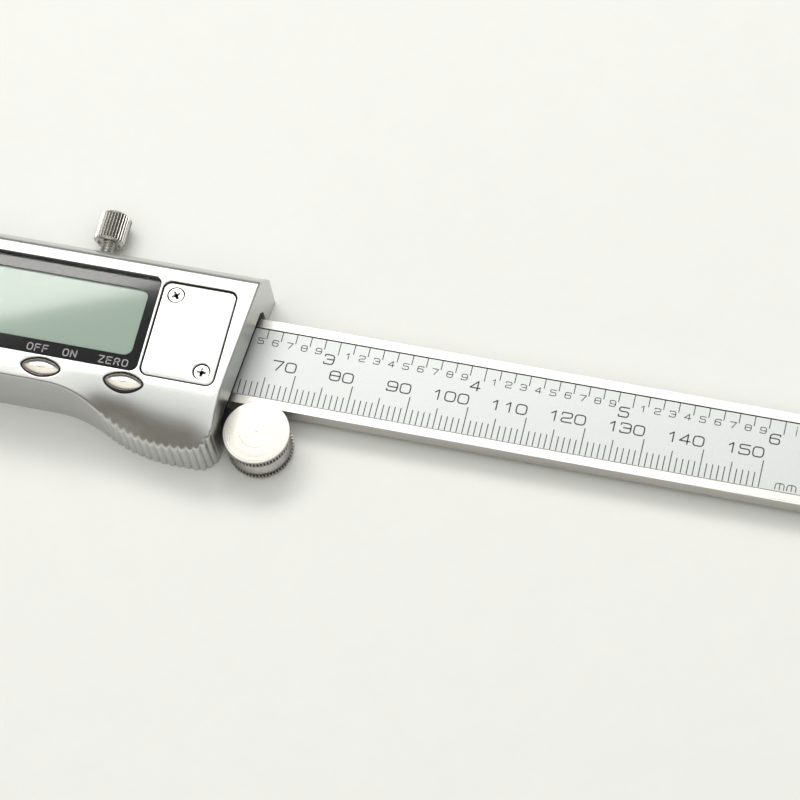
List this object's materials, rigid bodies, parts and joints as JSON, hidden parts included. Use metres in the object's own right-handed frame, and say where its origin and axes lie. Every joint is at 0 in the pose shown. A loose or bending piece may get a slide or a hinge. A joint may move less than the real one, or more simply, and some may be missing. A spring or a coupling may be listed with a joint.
{
  "type": "digital caliper",
  "caption": "Metal-cased digital caliper: beam with a millimetre and inch scale, slider with display, buttons, battery cover, thumb roller, lock screw and depth rod.",
  "frame": {"origin": "on the plane that the slider's back lies on, on the beam's centreline, below the lock screw's axis, with the jaws closed", "axes": "+X along the beam, away from the jaws; +Y across it, towards the lock screw; +Z out of the display"},
  "size_m": [0.236, 0.0725, 0.0135],
  "materials": {
    "ground_steel": "ground stainless steel, brushed along its length",
    "scale_print": "light grey printed film with dark grey marks",
    "circuit_green": "circuit board under solder mask",
    "frame_steel": "machined stainless steel, satin",
    "gib_bronze": "bronze",
    "blued_steel": "blackened steel",
    "case_metal": "satin silver metal",
    "plate_metal": "brushed sheet metal",
    "screw_steel": "bright nickel-plated steel",
    "chip_black": "cured black resin",
    "crystal_can": "bright metal can",
    "zebra_rubber": "striped conducting rubber",
    "holder_plastic": "white plastic",
    "lcd": "grey-green liquid crystal panel",
    "mask_black": "black print with light grey lettering",
    "lens_clear": "clear polished window",
    "keypad_rubber": "silicone rubber",
    "button_metal": "bright plated metal",
    "cell_steel": "nickel-plated steel",
    "contact_brass": "spring bronze",
    "cover_metal": "satin silver metal",
    "knob_metal": "nickel-plated brass",
    "bracket_black": "blackened spring steel",
    "roller_metal": "turned and nickel-plated"
  },
  "bodies": {
    "beam": {"beam": "ground_steel", "scale_circuit": "circuit_green", "scale_label": "scale_print", "end_stop": "frame_steel", "end_stop_screws": "screw_steel"},
    "slider": {"slider_frame": "frame_steel", "gib_strip": "gib_bronze", "gib_screws": "blued_steel", "depth_rod": "ground_steel", "depth_rod_rivet": "screw_steel", "casing": "case_metal", "back_plate": "plate_metal", "casing_screws": "screw_steel", "circuit_board": "circuit_green", "chip_seal": "chip_black", "quartz_crystal": "crystal_can", "zebra_strips": "zebra_rubber", "lcd_holder": "holder_plastic", "lcd_glass": "lcd", "window_mask": "mask_black", "window_lens": "lens_clear", "rubber_keypad": "keypad_rubber", "battery_cell": "cell_steel", "battery_spring": "contact_brass", "battery_clip": "contact_brass", "battery_cover": "cover_metal", "battery_cover_screws": "screw_steel", "roller_bracket": "bracket_black", "bracket_screws": "screw_steel"},
    "units_button": {"button_units": "button_metal"},
    "power_button": {"button_power": "button_metal"},
    "zero_button": {"button_zero": "button_metal"},
    "lock_pad": {"lock_pad": "gib_bronze"},
    "lock_screw": {"lock_screw": "knob_metal", "lock_knob": "knob_metal"},
    "roller": {"thumb_roller_upper": "roller_metal", "thumb_roller_lower": "roller_metal", "roller_axle": "screw_steel"}
  },
  "joints": [
    {"name": "slider_slide", "type": "slide", "parent": "beam", "child": "slider", "axis": [1, 0, 0], "range_m": [0, 0.15]},
    {"name": "units_press", "type": "slide", "parent": "slider", "child": "units_button", "axis": [0, 0, -1], "range_m": [0, 0.0005], "stiffness_N_per_m": 900, "springref_m": -0.0003},
    {"name": "power_press", "type": "slide", "parent": "slider", "child": "power_button", "axis": [0, 0, -1], "range_m": [0, 0.0005], "stiffness_N_per_m": 900, "springref_m": -0.0003},
    {"name": "zero_press", "type": "slide", "parent": "slider", "child": "zero_button", "axis": [0, 0, -1], "range_m": [0, 0.0005], "stiffness_N_per_m": 900, "springref_m": -0.0003},
    {"name": "lock_advance", "type": "slide", "parent": "slider", "child": "lock_pad", "axis": [0, -1, 0], "range_m": [0, 0.000277]},
    {"name": "lock_turn", "type": "hinge", "parent": "lock_pad", "child": "lock_screw", "pos_m": [0, 0.0175, 0.003], "axis": [0, -1, 0], "range_deg": [0, 200]},
    {"name": "roller_turn", "type": "hinge", "parent": "slider", "child": "roller", "pos_m": [0.03528, -0.01375, 0.0032], "axis": [0, 0, 1], "continuous": true}
  ],
  "couplings": [
    {"joint": "roller_turn", "follows": "slider_slide", "rad_per_m": 173.91},
    {"joint": "lock_turn", "follows": "lock_advance", "rad_per_m": 12566}
  ]
}
